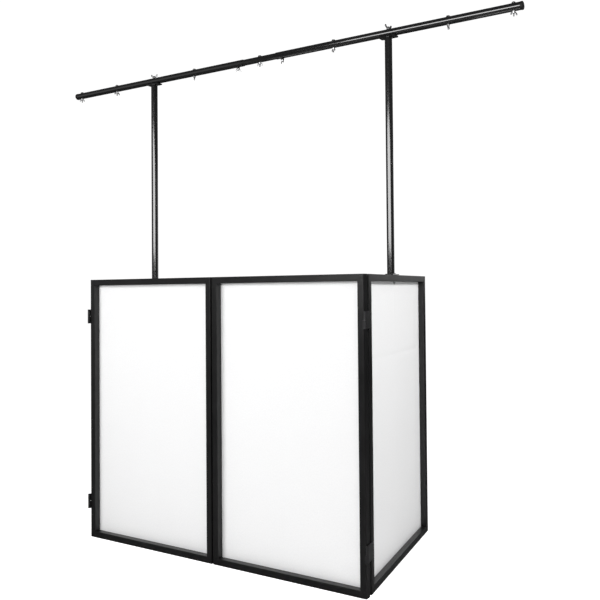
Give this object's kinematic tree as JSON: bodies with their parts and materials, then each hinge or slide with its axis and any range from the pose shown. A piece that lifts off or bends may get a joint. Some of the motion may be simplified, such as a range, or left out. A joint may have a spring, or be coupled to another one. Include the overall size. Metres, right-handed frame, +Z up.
{
  "type": "dj booth",
  "caption": "Free-standing folding DJ facade: black square-tube panels with white stretch scrims on hinges, and a round lighting bar on posts above the side panels.",
  "frame": {"origin": "on the floor, in the middle of the footprint", "axes": "+X to the right of someone who faces the booth, +Y towards the performer, +Z up"},
  "size_m": [2.5922, 0.8019, 2.2855],
  "materials": {
    "frame": "satin black powder coat",
    "scrim": "matt white stretch cloth",
    "hinge": "satin black",
    "bar": "semi-gloss black paint",
    "cap": "matt black",
    "zinc": "bright zinc plate"
  },
  "bodies": {
    "right_wing": {"right_wing_front_stile": "frame", "right_wing_rear_stile": "frame", "right_wing_bottom_rail": "frame", "right_wing_top_rail": "frame", "right_wing_scrim": "scrim", "right_corner_hinge_wing_leaves": "hinge"},
    "front_right": {"front_right_inner_stile": "frame", "front_right_outer_stile": "frame", "front_right_bottom_rail": "frame", "front_right_top_rail": "frame", "front_right_scrim": "scrim", "right_corner_hinge_front_leaves": "hinge", "right_corner_hinge_pins": "zinc", "centre_hinge_right_leaves": "hinge", "centre_hinge_pins": "zinc"},
    "front_left": {"front_left_outer_stile": "frame", "front_left_inner_stile": "frame", "front_left_bottom_rail": "frame", "front_left_top_rail": "frame", "front_left_scrim": "scrim", "centre_hinge_left_leaves": "hinge", "left_corner_hinge_front_leaves": "hinge", "left_corner_hinge_pins": "zinc"},
    "left_wing": {"left_wing_rear_stile": "frame", "left_wing_front_stile": "frame", "left_wing_bottom_rail": "frame", "left_wing_top_rail": "frame", "left_wing_scrim": "scrim", "left_corner_hinge_wing_leaves": "hinge", "left_foot_stud": "zinc"},
    "overhead": {"left_post": "bar", "right_post": "bar", "left_foot_plate": "bar", "right_foot_plate": "bar", "left_saddle": "bar", "right_saddle": "bar", "left_foot_bolt": "zinc", "right_foot_bolt": "zinc", "bar_left_tube": "bar", "bar_right_tube": "bar", "bar_coupler": "bar", "bar_end_caps": "cap", "bar_joint_bosses": "cap", "lamp_bolts": "zinc"},
    "lamp_nut_1": {"lamp_nut_1": "zinc"},
    "lamp_nut_2": {"lamp_nut_2": "zinc"},
    "lamp_nut_3": {"lamp_nut_3": "zinc"},
    "lamp_nut_4": {"lamp_nut_4": "zinc"},
    "lamp_nut_5": {"lamp_nut_5": "zinc"},
    "lamp_nut_6": {"lamp_nut_6": "zinc"},
    "lamp_nut_7": {"lamp_nut_7": "zinc"},
    "left_joint_screw": {"left_joint_screw": "zinc"},
    "right_joint_screw": {"right_joint_screw": "zinc"},
    "left_post_screw": {"left_post_screw": "zinc"},
    "right_post_screw": {"right_post_screw": "zinc"},
    "left_foot_nut": {"left_foot_nut": "zinc"},
    "right_foot_nut": {"right_foot_nut": "zinc"}
  },
  "joints": [
    {"name": "fold_right_corner", "type": "hinge", "parent": "right_wing", "child": "front_right", "pos_m": [0.77398, -0.39561, 0.61], "axis": [0, 0, 1], "range_deg": [0, 280.3]},
    {"name": "fold_centre", "type": "hinge", "parent": "front_right", "child": "front_left", "pos_m": [0, -0.36011, 0.61], "axis": [0, 0, -1], "range_deg": [0, 180]},
    {"name": "fold_left_corner", "type": "hinge", "parent": "front_left", "child": "left_wing", "pos_m": [-0.77398, -0.39561, 0.61], "axis": [0, 0, 1], "range_deg": [0, 280.3]},
    {"name": "lift_overhead", "type": "slide", "parent": "right_wing", "child": "overhead", "axis": [0, 0, 1], "range_m": [0, 0.12]},
    {"name": "turn_lamp_nut_1", "type": "hinge", "parent": "overhead", "child": "lamp_nut_1", "pos_m": [-1.25711, -0.05791, 2.2294], "axis": [0, 0, 1], "continuous": true},
    {"name": "turn_lamp_nut_2", "type": "hinge", "parent": "overhead", "child": "lamp_nut_2", "pos_m": [-0.97711, -0.05791, 2.2294], "axis": [0, 0, 1], "continuous": true},
    {"name": "turn_lamp_nut_3", "type": "hinge", "parent": "overhead", "child": "lamp_nut_3", "pos_m": [-0.41711, -0.05791, 2.2294], "axis": [0, 0, 1], "continuous": true},
    {"name": "turn_lamp_nut_4", "type": "hinge", "parent": "overhead", "child": "lamp_nut_4", "pos_m": [0, -0.05791, 2.2294], "axis": [0, 0, 1], "continuous": true},
    {"name": "turn_lamp_nut_5", "type": "hinge", "parent": "overhead", "child": "lamp_nut_5", "pos_m": [0.41711, -0.05791, 2.2294], "axis": [0, 0, 1], "continuous": true},
    {"name": "turn_lamp_nut_6", "type": "hinge", "parent": "overhead", "child": "lamp_nut_6", "pos_m": [0.97711, -0.05791, 2.2294], "axis": [0, 0, 1], "continuous": true},
    {"name": "turn_lamp_nut_7", "type": "hinge", "parent": "overhead", "child": "lamp_nut_7", "pos_m": [1.25711, -0.05791, 2.2294], "axis": [0, 0, 1], "continuous": true},
    {"name": "turn_left_joint_screw", "type": "hinge", "parent": "overhead", "child": "left_joint_screw", "pos_m": [-0.133, -0.05791, 2.2244], "axis": [0, 0, 1], "continuous": true},
    {"name": "turn_right_joint_screw", "type": "hinge", "parent": "overhead", "child": "right_joint_screw", "pos_m": [0.133, -0.05791, 2.2244], "axis": [0, 0, 1], "continuous": true},
    {"name": "turn_left_post_screw", "type": "hinge", "parent": "overhead", "child": "left_post_screw", "pos_m": [-0.69711, -0.05791, 2.2694], "axis": [0, 0, 1], "continuous": true},
    {"name": "turn_right_post_screw", "type": "hinge", "parent": "overhead", "child": "right_post_screw", "pos_m": [0.69711, -0.05791, 2.2694], "axis": [0, 0, 1], "continuous": true},
    {"name": "turn_left_foot_nut", "type": "hinge", "parent": "left_wing", "child": "left_foot_nut", "pos_m": [-0.6896, -0.01659, 1.1895], "axis": [0, 0, 1], "continuous": true},
    {"name": "turn_right_foot_nut", "type": "hinge", "parent": "right_wing", "child": "right_foot_nut", "pos_m": [0.6896, -0.01659, 1.1895], "axis": [0, 0, 1], "continuous": true}
  ],
  "couplings": [
    {"joint": "fold_right_corner", "follows": "fold_centre", "ratio": 1.5572},
    {"joint": "fold_left_corner", "follows": "fold_centre", "ratio": 1.5572}
  ]
}
